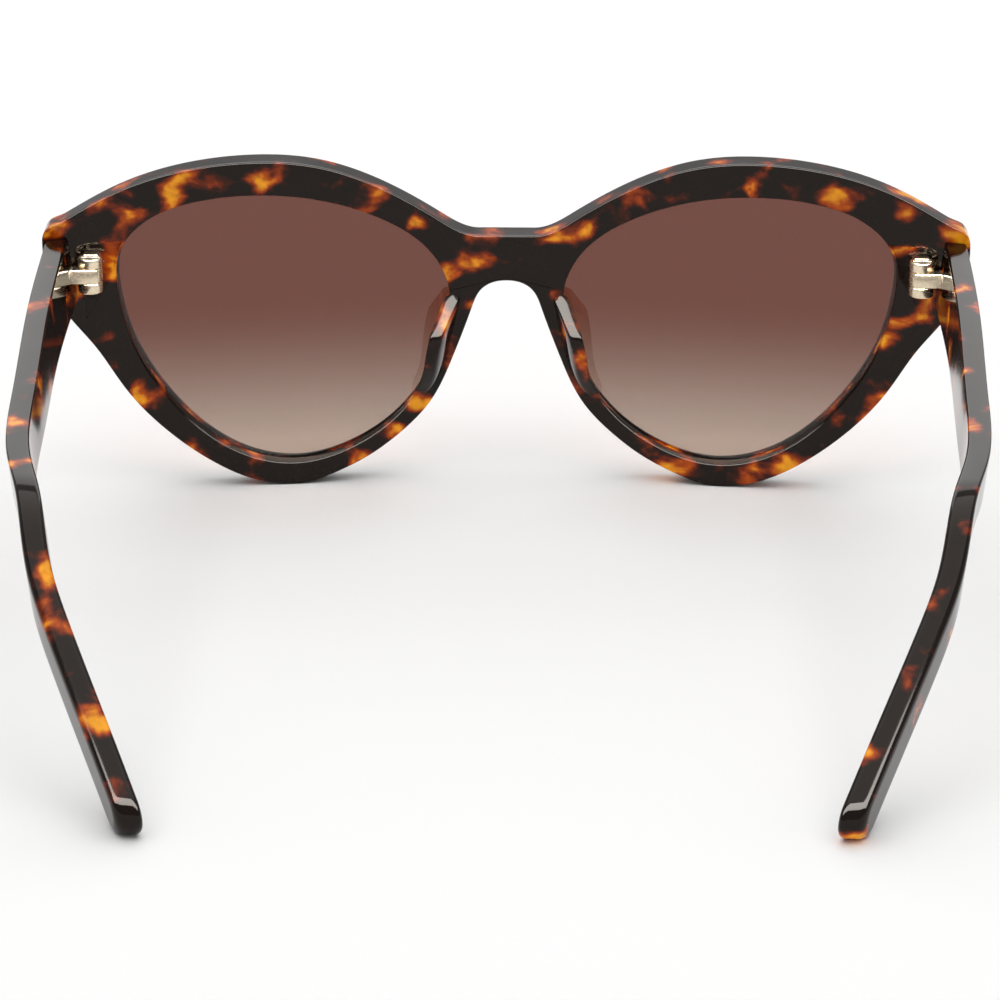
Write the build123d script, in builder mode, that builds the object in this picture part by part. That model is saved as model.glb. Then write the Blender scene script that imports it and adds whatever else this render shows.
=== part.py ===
from build123d import *
import math
import os

# Cat eye sunglasses: acetate front, two gradient lenses, folding temples on three-barrel hinges.
# Millimetres. +Z is up, +Y is the way the wearer looks, +X is the wearer's right. The origin is on the
# surface that the lower rims and the temple tips stand on, under the middle of the whole.
# Each pair is drawn on the wearer's right and mirrored for the left.

# ---------------------------------------------------------------- driving dimensions
front_half_width = 71.0  # middle of the bridge to the outside of an end piece
front_height = 52.8  # lowest rim to the brow
front_thickness = 5.0
wrap_radius = 260.0  # the front's back face is part of a ball of this radius
wrap_middle_height = 24.1  # height of the ball's centre

groove_depth = 0.8  # lens groove, measured into the rim
groove_gap = 0.06  # lens edge to the bottom of its groove
lens_thickness = 1.9
lens_set_back = 2.2  # back face of the rim to the back of the lens

pad_reach = 5.6  # how far a nose pad stands behind the rim
pad_width = 2.7
pad_splay = 0.30  # sideways per unit backwards

barrel_radius = 1.85
barrel_behind = 1.966  # back face of the end piece to the hinge axis
barrel_drop = 3.65  # top edge of the temple to the top of the barrel
knuckle_height = 1.65  # upper and lower knuckles, on the front
middle_knuckle_height = 2.2
knuckle_gap = 0.05  # between knuckles, along the axis
web_width = 2.6
leaf_outboard = 2.6  # from the hinge axis
leaf_wall = 0.447  # acetate between the leaf and the lens groove
leaf_depth = 1.4
leaf_sunk = 0.8  # from the milled flat down to the leaf
leaf_top_margin = 0.3
arm_offset = 0.5  # front of the temple leaf's arm, ahead of the axis
arm_lap = 1.3  # the arm's flat back runs this far past the axis, over the barrel
plate_gap = 0.35  # barrel to the near face of the temple plate
plate_inset = 1.1  # inside of the temple, at its top edge, to the near face of the plate
plate_thickness = 1.6
plate_length = 3.9
plate_height = 5.0
plate_point = 2.2
recess_depth = 0.984  # back face of the end piece to the milled flat, at the hinge's middle
recess_top_gap = 1.6  # above the barrel
recess_drop = 10.0  # below the barrel's bottom
recess_lap = 0.25  # the outboard wall stands this far inside the barrel's outline
recess_corner = 1.6
recess_run_out = 5.653  # past the outboard side of the lens opening, so that the flat runs out into it
recess_tilt = 7.0  # degrees, so that the flat runs out at its lower end

screw_radius = 0.70
screw_head_radius = 1.25
screw_head_height = 0.60
screw_head_sunk = 0.15
screw_slot_width = 0.32
screw_slot_depth = 0.30
running_gap = 0.05

temple_reach = 141.0  # back of the bridge to the end of a temple tip
temple_thickness = 3.3
temple_side_gap = 0.7  # outside of the end piece to the outside of the temple
temple_lean = 0.12  # the lower edge lies this much further in, per unit of height
temple_end_gap = 0.12  # temple end to the back of the front, when open
temple_drop = 1.83  # end of the brow to the top edge, run forward to the back of the bridge
temple_height = 10.6  # likewise run forward
temple_top_fall = 0.10  # fall per unit backwards
temple_under_fall = 0.058
ear_angle = 34.4  # degrees below level
ear_run = 42.0  # level distance from the bend to the tip
ear_height = 6.35  # square to the ear piece, also the diameter of its rounded end
bend_radius = 26.0

core_width = 1.1
core_height = 1.9
core_end = 15.0  # the core stops this far short of the tip

# ---------------------------------------------------------------- outlines
def spot(across, up):
    """A point of the front's outline, as shares of its half width and height."""
    return (across * front_half_width, up * front_height)


BROW = [spot(0.060, 0.759), spot(0.146, 0.809), spot(0.277, 0.913), spot(0.407, 0.979), spot(0.563, 1.0),
        spot(0.708, 0.981), spot(0.838, 0.930), spot(0.955, 0.850)]
CORNER = [spot(0.955, 0.850), spot(0.989, 0.830), spot(1.0, 0.792)]
TEMPORAL = [spot(1.0, 0.792), spot(0.990, 0.665), spot(0.949, 0.553), spot(0.895, 0.455), spot(0.833, 0.320),
            spot(0.741, 0.178), spot(0.645, 0.078), spot(0.546, 0.015), spot(0.465, 0.0)]
NASAL = [spot(0.465, 0.0), spot(0.380, 0.030), spot(0.300, 0.084), spot(0.230, 0.155), spot(0.168, 0.245),
         spot(0.118, 0.383), spot(0.077, 0.532), spot(0.055, 0.592), spot(0.032, 0.612), spot(0, 0.619)]
OPENING = [spot(0.126, 0.590), spot(0.152, 0.682), spot(0.196, 0.749), spot(0.268, 0.810), spot(0.385, 0.868),
           spot(0.535, 0.896), spot(0.680, 0.882), spot(0.780, 0.832), spot(0.838, 0.740), spot(0.843, 0.620),
           spot(0.812, 0.452), spot(0.748, 0.300), spot(0.660, 0.170), spot(0.555, 0.088), spot(0.455, 0.068),
           spot(0.345, 0.108), spot(0.252, 0.190), spot(0.186, 0.300), spot(0.145, 0.430)]
PAD_EDGE = [spot(0.100, 0.5758), spot(0.123, 0.430), spot(0.150, 0.320), spot(0.190, 0.2462)]  # downwards

# ---------------------------------------------------------------- derived places
bridge_back = (temple_reach - front_thickness) / 2  # puts the origin under the middle
ball_centre = (0, bridge_back - wrap_radius, wrap_middle_height)
opening_side = max(across for across, up in OPENING)
temple_outside = front_half_width - temple_side_gap
temple_top = BROW[-1][1] - temple_drop
plate_x = temple_outside - temple_thickness - plate_inset
barrel_top = temple_top - barrel_drop
upper_knuckle_bottom = barrel_top - knuckle_height
middle_knuckle_bottom = upper_knuckle_bottom - knuckle_gap - middle_knuckle_height
barrel_bottom = middle_knuckle_bottom - knuckle_gap - knuckle_height
barrel_middle = (barrel_bottom + barrel_top) / 2
hinge_x = plate_x - plate_gap - barrel_radius
hinge_rise = barrel_middle - wrap_middle_height
end_piece_back = ball_centre[1] + math.sqrt(wrap_radius ** 2 - hinge_x ** 2 - hinge_rise ** 2)
hinge_y = end_piece_back - barrel_behind
through = 2 * (front_half_width + temple_reach)  # longer than anything it cuts
ahead = Plane.XZ.offset(-through / 2)  # front outlines are drawn here and run back through everything
aside = Plane.YZ.offset(-through / 2)  # side outlines are drawn here and run across everything


def shell(near, far):
    """The layer of the ball between two depths in front of the back face, cut out by a caller's sketch."""
    with Locations(ball_centre):
        Sphere(wrap_radius + far, mode=Mode.INTERSECT)
        Sphere(wrap_radius + near, mode=Mode.SUBTRACT)


def beside(line, distance, count):
    """Points spread along a line, each set off square to it, to the left of the way it runs."""
    shares = [step / count for step in range(count + 1)]
    return [line @ share + Vector(-(line % share).Y, (line % share).X) * distance for share in shares]


def opening_block(growth, layer=None):
    """The lens opening of the wearer's right, grown evenly: right through, or one layer of the ball."""
    with BuildPart() as block:
        with BuildSketch(ahead):
            with BuildLine():
                outline = Spline(*OPENING, periodic=True, mode=Mode.PRIVATE)
                Spline(*beside(outline, growth, 2 * len(OPENING))[:-1], periodic=True)
            make_face()
        extrude(amount=through)
        if layer:
            shell(*layer)
    return block.part


def mirrored(piece, label):
    """The wearer's left copy of a piece."""
    with BuildPart() as copy:
        mirror(piece, about=Plane.YZ, mode=Mode.ADD)
    copy.part.label = label
    return copy.part


# ---------------------------------------------------------------- hinge
leaf_height = barrel_top - barrel_bottom - 2 * leaf_top_margin
flat_y = end_piece_back + recess_depth
leaf_back = flat_y + leaf_sunk

# The leaf that is sunk into the end piece, with the upper and lower knuckles.
leaf_inboard = opening_side + groove_depth + leaf_wall
with BuildPart() as leaf_block:
    with Locations((leaf_inboard, leaf_back, barrel_middle)):
        Box(hinge_x + leaf_outboard - leaf_inboard, leaf_depth, leaf_height,
            align=(Align.MIN, Align.MIN, Align.CENTER))

with BuildPart() as front_hinge_right:
    for knuckle_bottom in (barrel_bottom, upper_knuckle_bottom):
        with Locations((hinge_x, hinge_y, knuckle_bottom)):
            Cylinder(barrel_radius, knuckle_height, align=(Align.CENTER, Align.CENTER, Align.MIN))
            Box(web_width, leaf_back + leaf_depth / 2 - hinge_y, knuckle_height,
                align=(Align.CENTER, Align.MIN, Align.MIN))
    add(leaf_block.part)
    with Locations((hinge_x, hinge_y, barrel_middle)):
        Cylinder(screw_radius + running_gap, through, mode=Mode.SUBTRACT)
    with Locations((hinge_x, hinge_y, middle_knuckle_bottom - knuckle_gap)):
        Cylinder(barrel_radius + 2 * running_gap, middle_knuckle_height + 2 * knuckle_gap,
                 align=(Align.CENTER, Align.CENTER, Align.MIN), mode=Mode.SUBTRACT)
    with Locations((hinge_x, hinge_y, barrel_top)):
        Cylinder(screw_head_radius + running_gap, screw_head_height + screw_head_sunk,
                 align=(Align.CENTER, Align.CENTER, Align.MAX), mode=Mode.SUBTRACT)
front_hinge_right.part.label = "front_hinge_right"

# The screw: a sunk slotted head on a shank that runs down through all three knuckles.
head_top = barrel_top - screw_head_sunk
head_bottom = head_top - screw_head_height + running_gap
with BuildPart() as hinge_screw_right:
    with Locations((hinge_x, hinge_y, barrel_bottom)):
        Cylinder(screw_radius, head_top - barrel_bottom, align=(Align.CENTER, Align.CENTER, Align.MIN))
    with Locations((hinge_x, hinge_y, head_bottom)):
        Cylinder(screw_head_radius, head_top - head_bottom, align=(Align.CENTER, Align.CENTER, Align.MIN))
    with Locations((hinge_x, hinge_y, head_top)):
        Box(2 * screw_head_radius, screw_slot_width, 2 * screw_slot_depth, mode=Mode.SUBTRACT)
hinge_screw_right.part.label = "hinge_screw_right"

# The plate on the temple, pointed at its lower end.
plate_front = hinge_y + arm_offset
plate_top = middle_knuckle_bottom + middle_knuckle_height + leaf_top_margin
with BuildPart() as plate_block:
    with BuildSketch(Plane.YZ.offset(plate_x)):
        with BuildLine():
            Polyline((plate_front, plate_top), (plate_front, plate_top - plate_height),
                     (plate_front - plate_length / 2, plate_top - plate_height - plate_point),
                     (plate_front - plate_length, plate_top - plate_height),
                     (plate_front - plate_length, plate_top), close=True)
        make_face()
    extrude(amount=plate_thickness)

# The temple's leaf: the plate, an arm and the middle knuckle.
with BuildPart() as temple_hinge_right:
    with Locations((hinge_x, hinge_y, middle_knuckle_bottom)):
        Cylinder(barrel_radius, middle_knuckle_height, align=(Align.CENTER, Align.CENTER, Align.MIN))
    with Locations((hinge_x - arm_lap, plate_front, middle_knuckle_bottom)):
        Box(arm_lap + plate_x - hinge_x + plate_thickness / 2, arm_offset + barrel_radius,
            middle_knuckle_height, align=(Align.MIN, Align.MAX, Align.MIN))
    add(plate_block.part)
    with Locations((hinge_x, hinge_y, barrel_middle)):
        Cylinder(screw_radius + running_gap, through, mode=Mode.SUBTRACT)
temple_hinge_right.part.label = "temple_hinge_right"

# ---------------------------------------------------------------- front
# The milled flat for the hinge: a tilted block, deepest at its top.
with BuildPart() as hinge_recess:
    recess_height = barrel_top + recess_top_gap - barrel_bottom + recess_drop
    recess_outboard = barrel_radius - recess_lap
    recess_width = hinge_x + recess_outboard - opening_side + recess_run_out
    flat = Plane(origin=(hinge_x, flat_y, barrel_middle), x_dir=(1, 0, 0), z_dir=(0, -1, 0))
    with BuildSketch(flat.rotated((-recess_tilt, 0, 0))):
        with Locations((recess_outboard, barrel_top - barrel_middle + recess_top_gap)):
            Rectangle(recess_width, recess_height, align=(Align.MAX, Align.MAX))
        fillet(vertices().group_by(Axis.Y)[-1], recess_corner)
    extrude(amount=2 * front_thickness)

lens_layer = (lens_set_back, lens_set_back + lens_thickness)
with BuildPart() as front_frame:
    with BuildSketch(ahead):
        with BuildLine():
            Line(spot(0, 0.759), BROW[0])
            Spline(*BROW, tangents=[(1, 0), (1, -0.56)])
            Spline(*CORNER, tangents=[(1, -0.56), (0, -1)])
            Spline(*TEMPORAL, tangents=[(0, -1), (-1, 0)])
            Spline(*NASAL, tangents=[(-1, 0), (-1, 0)])
            mirror(about=Plane.YZ)
        make_face()
    extrude(amount=through)
    shell(0, front_thickness)
    opening = opening_block(0)
    groove = opening_block(groove_depth, lens_layer)
    for cut in (opening, groove, hinge_recess.part, leaf_block.part, front_hinge_right.part):
        add(cut, mode=Mode.SUBTRACT)
        mirror(cut, about=Plane.YZ, mode=Mode.SUBTRACT)
front_frame.part.label = "front_frame"

lens_right = opening_block(groove_depth - groove_gap, lens_layer)
lens_right.label = "lens_right"

# A nose pad: a strip along the rim's nasal edge, run back and outwards, under a rounded side outline.
pad_top = PAD_EDGE[0][1]
pad_foot = PAD_EDGE[-1][1]
with BuildPart() as nose_pad_right:
    with BuildSketch(Plane.XZ.offset(-bridge_back - front_thickness)):
        with BuildLine():
            edge = Spline(*PAD_EDGE)
            shares = (1, 0.66, 0.33, 0)
            far = Spline(*[edge @ share + Vector(pad_width, 0) for share in shares])
            Line(edge @ 1, far @ 0)
            Line(far @ 1, edge @ 0)
        make_face()
    extrude(amount=through, dir=(pad_splay, -1, 0))
    with BuildSketch(aside):
        with BuildLine():
            Spline((bridge_back + front_thickness, pad_top), (bridge_back - 0.45 * pad_reach, pad_top - 1.6),
                   (bridge_back - pad_reach, 0.55 * pad_top + 0.45 * pad_foot),
                   (bridge_back - 0.6 * pad_reach, 0.22 * pad_top + 0.78 * pad_foot),
                   (bridge_back + front_thickness, pad_foot),
                   tangents=[(-1, 0), (1, -0.25)])
            Line((bridge_back + front_thickness, pad_foot), (bridge_back + front_thickness, pad_top))
        make_face()
    extrude(amount=through, mode=Mode.INTERSECT)
    with Locations(ball_centre):
        Sphere(wrap_radius, mode=Mode.INTERSECT)
nose_pad_right.part.label = "nose_pad_right"


# ---------------------------------------------------------------- temple
def from_bridge(back, height):
    """A point of the temple's side outline, from its distance behind the bridge and its height."""
    return (bridge_back - back, height)


ear_fall = math.tan(math.radians(ear_angle))
tip_radius = ear_height / 2
tip_middle = (temple_reach - tip_radius, tip_radius)
tip_across = (tip_radius * math.sin(math.radians(ear_angle)), tip_radius * math.cos(math.radians(ear_angle)))


def side_line(start, height, fall, side, stop=0.0):
    """The straight and the ear piece of one long edge: side is 1 for the top, -1 underneath, 0 between."""
    end_back = tip_middle[0] + side * tip_across[0]
    end_height = tip_middle[1] + side * tip_across[1]
    bend = (end_height + end_back * ear_fall - height) / (ear_fall - fall)
    end = from_bridge(end_back - stop, end_height + stop * ear_fall)
    return [from_bridge(start, height - start * fall), from_bridge(bend, height - bend * fall), end]


def bowed_slab(inset, width):
    """A slab of one width inside the temple's bowed outer line, leaning inwards from the top edge down."""
    straight = temple_reach - ear_run
    bow = [(0.1, 0), (-0.7, 0.36 * straight), (-0.05, 0.66 * straight), (1.2, 0.87 * straight),
           (3.7, straight), (5.3, straight + 0.26 * ear_run), (7.6, straight + 0.43 * ear_run),
           (13.6, straight + 0.80 * ear_run), (17.2, temple_reach + 1)]
    spots = [(temple_outside - inward - inset, bridge_back - back) for inward, back in bow]
    with BuildPart() as slab:
        with BuildSketch(Plane.XY.offset(temple_top)):
            with BuildLine():
                outer = Spline(*spots)
                inner = Spline(*beside(outer, -width, 2 * len(bow)))
                Line(outer @ 0, inner @ 0)
                Line(outer @ 1, inner @ 1)
            make_face()
        extrude(amount=1.2 * temple_top, dir=(-temple_lean, 0, -1))
    return slab.part


# The core: a flat metal strip at mid height, from the hinge plate to short of the tip.
plate_rear = bridge_back - (plate_front - plate_length)
core_inset = (temple_thickness - core_width) / 2
with BuildPart() as core_wire_right:
    add(bowed_slab(core_inset, core_width))
    with BuildSketch(aside):
        with BuildLine():
            middle = side_line(plate_rear, temple_top - temple_height / 2, temple_top_fall, 0, core_end)
            FilletPolyline(*[(y, z + core_height / 2) for y, z in middle], radius=bend_radius)
            FilletPolyline(*[(y, z - core_height / 2) for y, z in middle], radius=bend_radius)
            for y, z in (middle[0], middle[-1]):
                Line((y, z + core_height / 2), (y, z - core_height / 2))
        make_face()
    extrude(amount=through, mode=Mode.INTERSECT)
core_wire_right.part.label = "core_wire_right"

with BuildPart() as temple_right:
    add(bowed_slab(0, temple_thickness))
    with BuildSketch(aside):
        with BuildLine():
            top = side_line(0, temple_top, temple_top_fall, 1)
            under = side_line(0, temple_top - temple_height, temple_under_fall, -1)
            nose = from_bridge(tip_middle[0] + tip_across[1], tip_middle[1] - tip_across[0])
            FilletPolyline(*top, radius=bend_radius)
            ThreePointArc(top[-1], nose, under[-1])
            FilletPolyline(*under, radius=bend_radius)
            Line(top[0], under[0])
        make_face()
    extrude(amount=through, mode=Mode.INTERSECT)
    with Locations(ball_centre):
        Sphere(wrap_radius - temple_end_gap, mode=Mode.INTERSECT)
    for cut in (plate_block.part, core_wire_right.part):
        add(cut, mode=Mode.SUBTRACT)
temple_right.part.label = "temple_right"

# ---------------------------------------------------------------- writing
os.makedirs("parts", exist_ok=True)
export_step(front_frame.part, "parts/front_frame.step")
pairs = {
    "lens": lens_right,
    "nose_pad": nose_pad_right.part,
    "front_hinge": front_hinge_right.part,
    "hinge_screw": hinge_screw_right.part,
    "temple_hinge": temple_hinge_right.part,
    "core_wire": core_wire_right.part,
    "temple": temple_right.part,
}
for name, piece in pairs.items():
    export_step(piece, f"parts/{name}_right.step")
    export_step(mirrored(piece, f"{name}_left"), f"parts/{name}_left.step")
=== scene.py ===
import math

import bmesh
import bpy
import numpy as np
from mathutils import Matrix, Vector


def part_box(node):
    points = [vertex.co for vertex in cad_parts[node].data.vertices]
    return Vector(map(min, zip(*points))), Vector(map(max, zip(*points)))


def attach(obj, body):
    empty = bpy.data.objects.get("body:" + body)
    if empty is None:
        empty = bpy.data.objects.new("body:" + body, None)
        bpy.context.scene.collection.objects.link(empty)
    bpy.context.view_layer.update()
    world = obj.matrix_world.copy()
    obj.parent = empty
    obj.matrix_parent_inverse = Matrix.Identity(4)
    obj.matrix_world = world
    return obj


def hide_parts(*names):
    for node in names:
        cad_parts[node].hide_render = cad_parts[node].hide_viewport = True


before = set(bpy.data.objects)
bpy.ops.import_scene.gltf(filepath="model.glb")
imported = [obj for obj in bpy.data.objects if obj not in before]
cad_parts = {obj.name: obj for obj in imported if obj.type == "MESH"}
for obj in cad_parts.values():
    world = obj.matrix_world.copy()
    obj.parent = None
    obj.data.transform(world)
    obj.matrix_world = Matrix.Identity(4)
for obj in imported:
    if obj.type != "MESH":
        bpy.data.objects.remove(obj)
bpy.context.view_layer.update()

bl_info = {
    "name": "Cat Eye Sunglasses",
    "version": (1, 0, 0),
    "blender": (4, 5, 0),
    "location": "3D View > Sidebar > Eyewear",
    "description": "Tortoise acetate sunglasses with gradient lenses and folding temples",
    "category": "Add Mesh",
}

MM = 0.001
SIDES = {"left": -1.0, "right": 1.0}  # the wearer's left and right, and the sign of X there


# ------------------------------------------------------------------ sizes and colours
def length(label, text, value):
    """A length in metres, given here in millimetres."""
    return bpy.props.FloatProperty(name=label, description=text, default=value * MM, unit="LENGTH",
                                   precision=5)


def number(label, text, value, low=0.0, high=100.0):
    """A plain number."""
    return bpy.props.FloatProperty(name=label, description=text, default=value, min=low, max=high)


def angle(label, text, value):
    """An angle, given here in degrees."""
    return bpy.props.FloatProperty(name=label, description=text, default=math.radians(value), subtype="ANGLE")


def colour(label, text, value):
    """A linear colour."""
    return bpy.props.FloatVectorProperty(name=label, description=text, default=value, subtype="COLOR",
                                         size=3, min=0.0, max=1.0)


class FrontSizes(bpy.types.PropertyGroup):
    """Sizes of the acetate front."""
    half_width: length("Half width", "Middle of the bridge to the outside of an end piece", 71.0)
    height: length("Height", "Lowest rim to the brow", 52.8)
    thickness: length("Thickness", "Thickness of the acetate sheet", 5.0)
    wrap_radius: length("Wrap radius", "Radius of the ball that the back face is part of", 260.0)
    wrap_height: length("Wrap height", "Height of that ball's centre", 24.1)
    edge: length("Edge rounding", "Radius that tumbling leaves on the edges", 0.32)
    groove: length("Groove depth", "Depth of the lens groove in the rim", 0.8)
    pad_reach: length("Pad reach", "How far a nose pad stands behind the rim", 5.4)
    pad_width: length("Pad width", "Thickness of a nose pad", 2.5)


class LensSizes(bpy.types.PropertyGroup):
    """Sizes of the lenses."""
    thickness: length("Thickness", "Thickness of a lens", 1.9)
    set_back: length("Set back", "Back face of the rim to the back of the lens", 2.2)
    bevel: length("Bevel", "Flat cut round the edge where it enters the groove", 0.35)


class TempleSizes(bpy.types.PropertyGroup):
    """Sizes of the temples."""
    reach: length("Reach", "Back of the bridge to the end of a tip", 141.0)
    thickness: length("Thickness", "Thickness of a temple", 3.3)
    top: length("Top", "Height of the top edge at the bridge's back", 43.05)
    depth: length("Depth", "Height of the side there", 10.6)
    ear_depth: length("Ear piece depth", "Width of the ear piece seen from the side", 6.35)
    ear_run: length("Ear piece run", "Level distance from the bend to the tip", 42.0)
    bend: length("Bend radius", "Radius of the bend over the ear", 26.0)
    edge: length("Edge rounding", "Radius that tumbling leaves on the edges", 0.38)
    tip_edge: length("Tip edge rounding", "Radius of the ear piece's edges at its tip", 1.05)
    swell: length("Swell", "What the ear piece gains in thickness towards its tip", 0.25)


class HingeSizes(bpy.types.PropertyGroup):
    """Sizes of the hinges and screws."""
    barrel: length("Barrel radius", "Outer radius of the knuckles", 1.85)
    bore: length("Bore radius", "Radius of the hole for the screw", 0.75)
    screw: length("Screw radius", "Radius of the screw's shank", 0.70)
    head: length("Screw head radius", "Radius of the screw's head", 1.25)
    knuckle: length("Knuckle height", "Height of the upper and the lower knuckle", 1.65)
    gap: length("Knuckle gap", "Gap between two knuckles", 0.05)
    chamfer: length("Chamfer", "Broken edge of the metal parts", 0.20)


class AcetateColours(bpy.types.PropertyGroup):
    """Colours and scale of the tortoise acetate."""
    dark: colour("Dark ground", "The brown that is nearly black", (0.0085, 0.0042, 0.0030))
    ember: colour("Ember", "The red brown round a blotch", (0.048, 0.0080, 0.0030))
    russet: colour("Russet", "The outer part of a blotch", (0.200, 0.0230, 0.0028))
    orange: colour("Orange", "The body of a blotch", (0.500, 0.076, 0.0034))
    amber: colour("Amber", "The heart of a blotch", (1.000, 0.400, 0.0140))
    blotch: length("Blotch size", "Usual distance between blotches", 5.7)
    spread: number("Spread", "Where blotches begin: lower covers more of the ground", 0.472, 0.0, 1.0)
    temple_spread: number("Temple spread", "The same for the temples", 0.50, 0.0, 1.0)
    gloss: number("Gloss roughness", "Roughness of the polish", 0.07, 0.0, 1.0)


class LensColours(bpy.types.PropertyGroup):
    """Tint of the lenses from top to bottom."""
    top: colour("Top tint", "Light that the top lets through", (0.138, 0.040, 0.024))
    bottom: colour("Bottom tint", "Light that the bottom lets through", (0.455, 0.362, 0.298))
    fade_top: length("Fade top", "Height at which the tint begins to fade", 29.6)
    fade_run: length("Fade run", "Height over which it fades", 23.2)


class MetalColours(bpy.types.PropertyGroup):
    """Colours of the hinge metal."""
    leaf: colour("Leaf", "Nickel silver of the hinges", (0.80, 0.68, 0.50))
    screw: colour("Screw", "Dark steel of the screws", (0.20, 0.18, 0.155))
    core: colour("Core", "Drawn strip inside the temples", (0.62, 0.60, 0.56))


class StageSettings(bpy.types.PropertyGroup):
    """Camera, light and floor."""
    distance: length("Camera distance", "Camera to the point it looks at", 750.0)
    elevation: angle("Elevation", "How far the camera looks down", 20.0)
    turn: angle("Turn", "How far the camera stands to one side", 0.95)
    focal: number("Focal length", "Focal length in millimetres on a 36 mm sensor", 170.9, 1.0, 500.0)
    floor: colour("Floor", "Colour of the floor", (0.90, 0.90, 0.895))
    sky: number("Surround", "Brightness of the pale surround", 0.42, 0.0, 10.0)
    top_light: number("Top light", "Power of the large soft light overhead, in watts", 24.2, 0.0, 500.0)
    strip_light: number("Strip light", "Power of the strip above the camera, in watts", 105.0, 0.0, 500.0)
    rear_light: number("Rear light", "Power of the soft light beyond the object, in watts", 9.0, 0.0, 500.0)


SETTINGS = {
    "eyewear_front": FrontSizes,
    "eyewear_lens": LensSizes,
    "eyewear_temple": TempleSizes,
    "eyewear_hinge": HingeSizes,
    "eyewear_acetate": AcetateColours,
    "eyewear_tint": LensColours,
    "eyewear_metal": MetalColours,
    "eyewear_stage": StageSettings,
}


def setting(group):
    """The settings group of that name on the scene."""
    return getattr(bpy.context.scene, "eyewear_" + group)


# ------------------------------------------------------------------ lines and grids
def ease(share):
    """Zero below 0, one above 1, and a smooth cubic between."""
    share = np.clip(share, 0.0, 1.0)
    return share * share * (3.0 - 2.0 * share)


def smooth_line(points, count, start=None, end=None, closed=False):
    """A cubic through the points with no jump in curvature, run by chord length.

    The slopes solve the usual three-term equations: each piece bends at its end as the next one does at
    its start. An end takes the direction given for it, or else bends no further.
    """
    knots = np.array(points, float)
    if closed:
        knots = np.vstack([knots, knots[:1]])
    gap = np.linalg.norm(np.diff(knots, axis=0), axis=1)
    rise = np.diff(knots, axis=0) / gap[:, None]
    last = len(knots) - 1
    table = np.zeros((last + 1, last + 1))
    right = np.zeros_like(knots)
    inner = np.arange(1, last)
    table[inner, inner - 1] = 1.0 / gap[:-1]
    table[inner, inner] = 2.0 / gap[:-1] + 2.0 / gap[1:]
    table[inner, inner + 1] = 1.0 / gap[1:]
    right[inner] = 3.0 * (rise[:-1] / gap[:-1, None] + rise[1:] / gap[1:, None])
    if closed:
        table[0, [0, 1, last - 1]] = [2.0 / gap[0] + 2.0 / gap[-1], 1.0 / gap[0], 1.0 / gap[-1]]
        right[0] = 3.0 * (rise[0] / gap[0] + rise[-1] / gap[-1])
        table[last, [0, last]] = [-1.0, 1.0]
    else:
        for row, beside, way in ((0, 1, start), (last, last - 1, end)):
            if way is None:
                table[row, [row, beside]] = [2.0, 1.0]
                right[row] = 3.0 * rise[0 if row == 0 else -1]
            else:
                table[row, row] = 1.0
                right[row] = np.array(way, float) / np.linalg.norm(way)
    slope = np.linalg.solve(table, right)
    along = np.linspace(0.0, last, count)
    piece = np.minimum(along.astype(int), last - 1)
    t = (along - piece)[:, None]
    h = gap[piece][:, None]
    return ((2 * t ** 3 - 3 * t ** 2 + 1) * knots[piece] + (t ** 3 - 2 * t ** 2 + t) * h * slope[piece]
            + (3 * t ** 2 - 2 * t ** 3) * knots[piece + 1] + (t ** 3 - t ** 2) * h * slope[piece + 1])


def spread(line, count, crowd=None):
    """The line with its points spread evenly by length, or closer together where crowd is large."""
    step = np.linalg.norm(np.diff(line, axis=0), axis=1)
    if crowd is not None:
        step = step * 0.5 * (crowd[1:] + crowd[:-1])
    run = np.concatenate([[0.0], np.cumsum(step)])
    wanted = np.linspace(0.0, run[-1], count)
    return np.stack([np.interp(wanted, run, line[:, k]) for k in range(line.shape[1])], axis=1)


def left_of(line, closed=False):
    """Unit vectors square to a plane line, to the left of the way it runs."""
    if closed:
        way = np.roll(line, -1, axis=0) - np.roll(line, 1, axis=0)
    else:
        way = np.gradient(line, axis=0)
    way = way / np.linalg.norm(way, axis=1)[:, None]
    return np.stack([-way[:, 1], way[:, 0]], axis=1)


def round_edge(radius, steps):
    """A quarter round as (distance in from the edge, depth below the face), from the face to the wall."""
    turn = np.linspace(0.0, math.pi / 2, steps)
    return np.stack([radius * (1.0 - np.sin(turn)), radius * (1.0 - np.cos(turn))], axis=1)


def grid_faces(rows, columns, wrap_rows, wrap_columns, first):
    """Corner numbers of the squares of a grid of points whose numbering starts at first."""
    i = np.arange(rows if wrap_rows else rows - 1)[:, None]
    j = np.arange(columns if wrap_columns else columns - 1)[None, :]
    below = (i + 1) % rows
    beside = (j + 1) % columns
    corners = np.stack(np.broadcast_arrays(i * columns + j, below * columns + j, below * columns + beside,
                                           i * columns + beside), axis=-1)
    return corners.reshape(-1, 4) + first


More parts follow.
